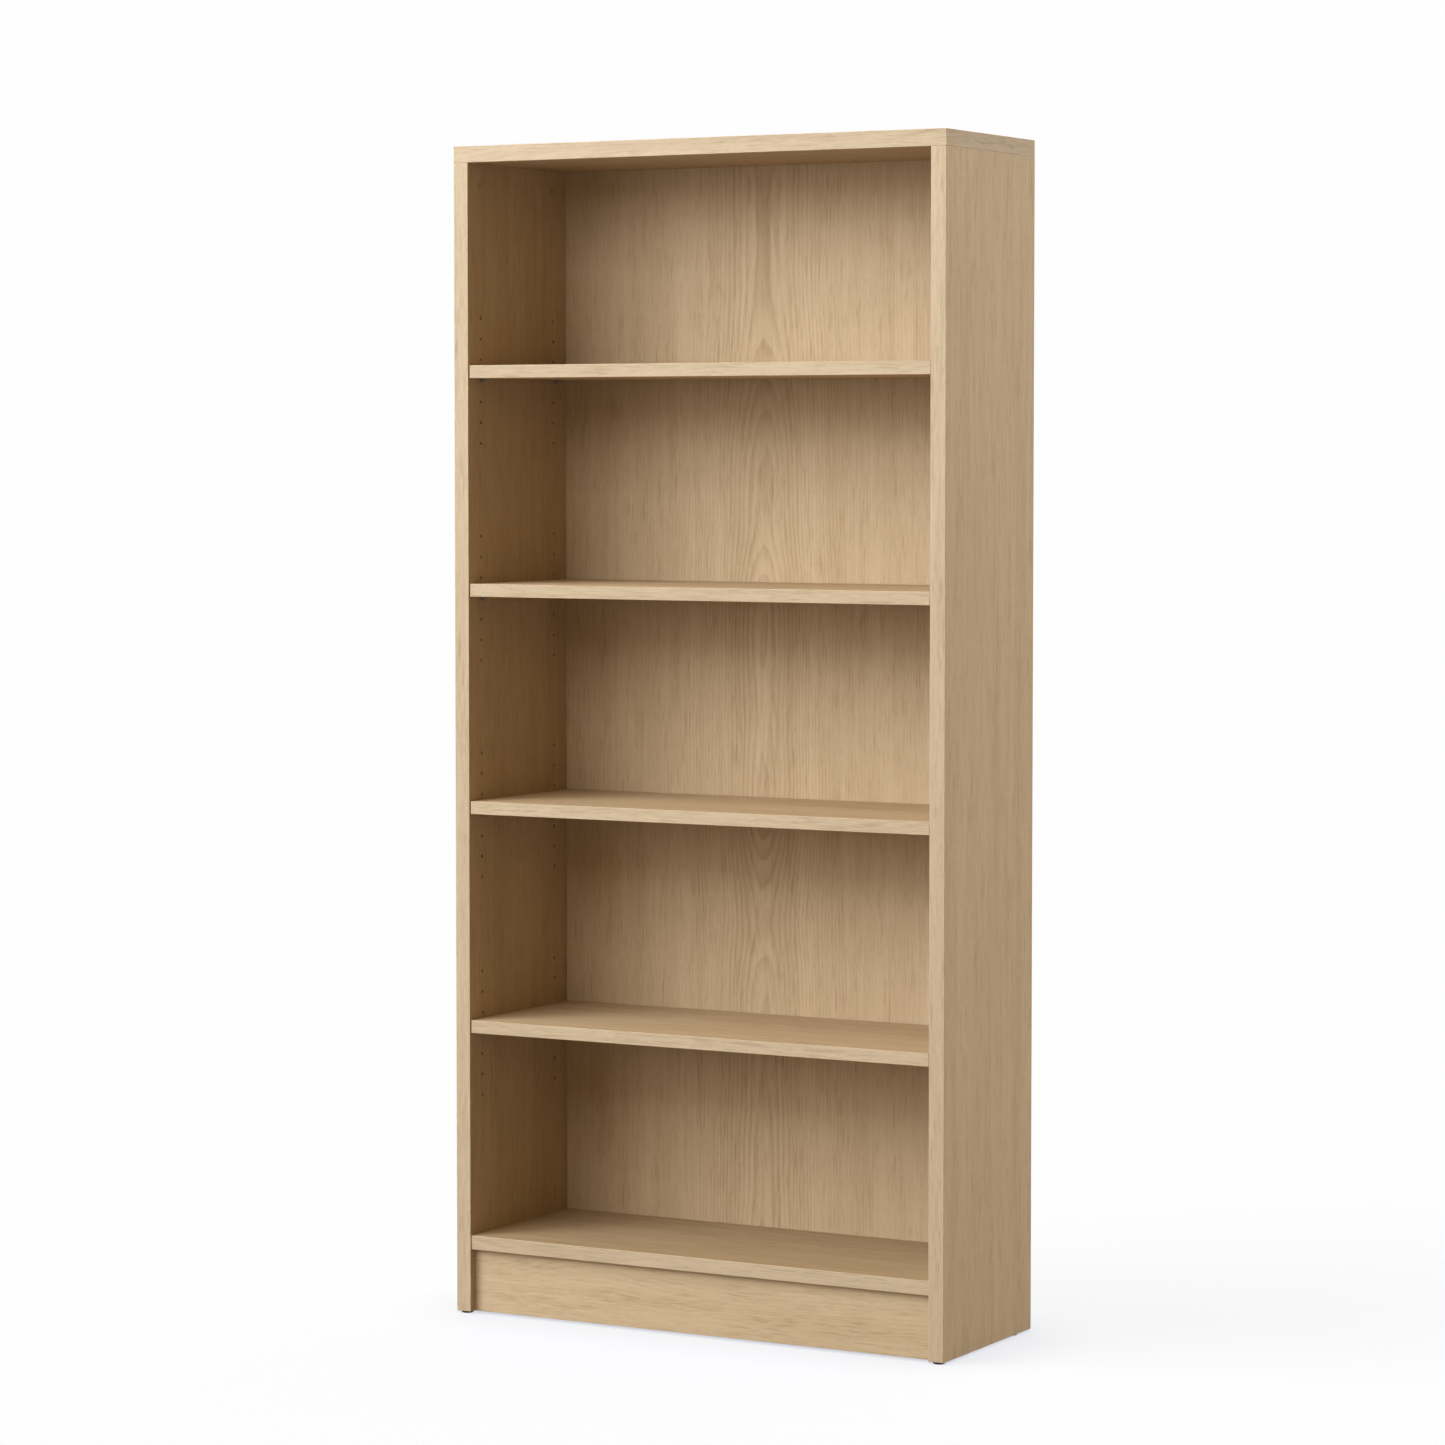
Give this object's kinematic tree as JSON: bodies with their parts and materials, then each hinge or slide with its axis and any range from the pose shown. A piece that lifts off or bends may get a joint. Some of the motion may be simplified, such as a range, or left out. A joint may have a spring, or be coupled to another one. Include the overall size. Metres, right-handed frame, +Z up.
{
  "type": "bookcase with adjustable shelves",
  "caption": "Tall open bookcase in light oak veneer with a top over its side panels, a recessed plinth, a grooved back panel and loose shelves on pins.",
  "frame": {"origin": "on the floor, in the middle of the footprint", "axes": "+X to the right, +Y from the open front to the back, +Z up"},
  "size_m": [0.84, 0.3, 1.8],
  "materials": {
    "oak_panel": "satin oak veneer on board",
    "oak_edge": "satin oak edge band",
    "oak_back": "satin oak veneer on thin board",
    "beech": "plain turned wood",
    "zinc_plated_steel": "bright zinc plating",
    "zinc_alloy": "die-cast, matt grey",
    "oak_tone_plastic": "moulded, oak tone",
    "dark_plastic": "moulded, dark brown"
  },
  "bodies": {
    "case": {"side_panel_left": "oak_panel", "side_panel_right": "oak_panel", "top_panel": "oak_panel", "bottom_panel": "oak_panel", "plinth": "oak_panel", "back_panel": "oak_back", "side_edge_band_left": "oak_edge", "side_edge_band_right": "oak_edge", "top_edge_bands": "oak_edge", "bottom_edge_band": "oak_edge", "top_cam_locks": "zinc_alloy", "top_cam_bolts": "zinc_plated_steel", "top_cam_caps": "oak_tone_plastic", "bottom_cam_locks": "zinc_alloy", "bottom_cam_bolts": "zinc_plated_steel", "top_dowels": "beech", "bottom_dowels": "beech", "plinth_dowels": "beech", "back_screws": "zinc_plated_steel", "glides": "dark_plastic", "glide_nails": "zinc_plated_steel"},
    "pin_set_1": {"shelf_1_pins": "zinc_plated_steel"},
    "loose_shelf_1": {"shelf_1": "oak_panel", "shelf_1_edge_band": "oak_edge"},
    "pin_set_2": {"shelf_2_pins": "zinc_plated_steel"},
    "loose_shelf_2": {"shelf_2": "oak_panel", "shelf_2_edge_band": "oak_edge"},
    "pin_set_3": {"shelf_3_pins": "zinc_plated_steel"},
    "loose_shelf_3": {"shelf_3": "oak_panel", "shelf_3_edge_band": "oak_edge"},
    "pin_set_4": {"shelf_4_pins": "zinc_plated_steel"},
    "loose_shelf_4": {"shelf_4": "oak_panel", "shelf_4_edge_band": "oak_edge"}
  },
  "joints": [
    {"name": "shelf_1_height", "type": "slide", "parent": "case", "child": "pin_set_1", "axis": [0, 0, 1], "range_m": [-0.096, 0.096]},
    {"name": "shelf_1_pull_out", "type": "slide", "parent": "pin_set_1", "child": "loose_shelf_1", "axis": [0, -1, 0], "range_m": [0, 0.3]},
    {"name": "shelf_2_height", "type": "slide", "parent": "case", "child": "pin_set_2", "axis": [0, 0, 1], "range_m": [-0.096, 0.096]},
    {"name": "shelf_2_pull_out", "type": "slide", "parent": "pin_set_2", "child": "loose_shelf_2", "axis": [0, -1, 0], "range_m": [0, 0.3]},
    {"name": "shelf_3_height", "type": "slide", "parent": "case", "child": "pin_set_3", "axis": [0, 0, 1], "range_m": [-0.096, 0.096]},
    {"name": "shelf_3_pull_out", "type": "slide", "parent": "pin_set_3", "child": "loose_shelf_3", "axis": [0, -1, 0], "range_m": [0, 0.3]},
    {"name": "shelf_4_height", "type": "slide", "parent": "case", "child": "pin_set_4", "axis": [0, 0, 1], "range_m": [-0.096, 0.096]},
    {"name": "shelf_4_pull_out", "type": "slide", "parent": "pin_set_4", "child": "loose_shelf_4", "axis": [0, -1, 0], "range_m": [0, 0.3]}
  ]
}
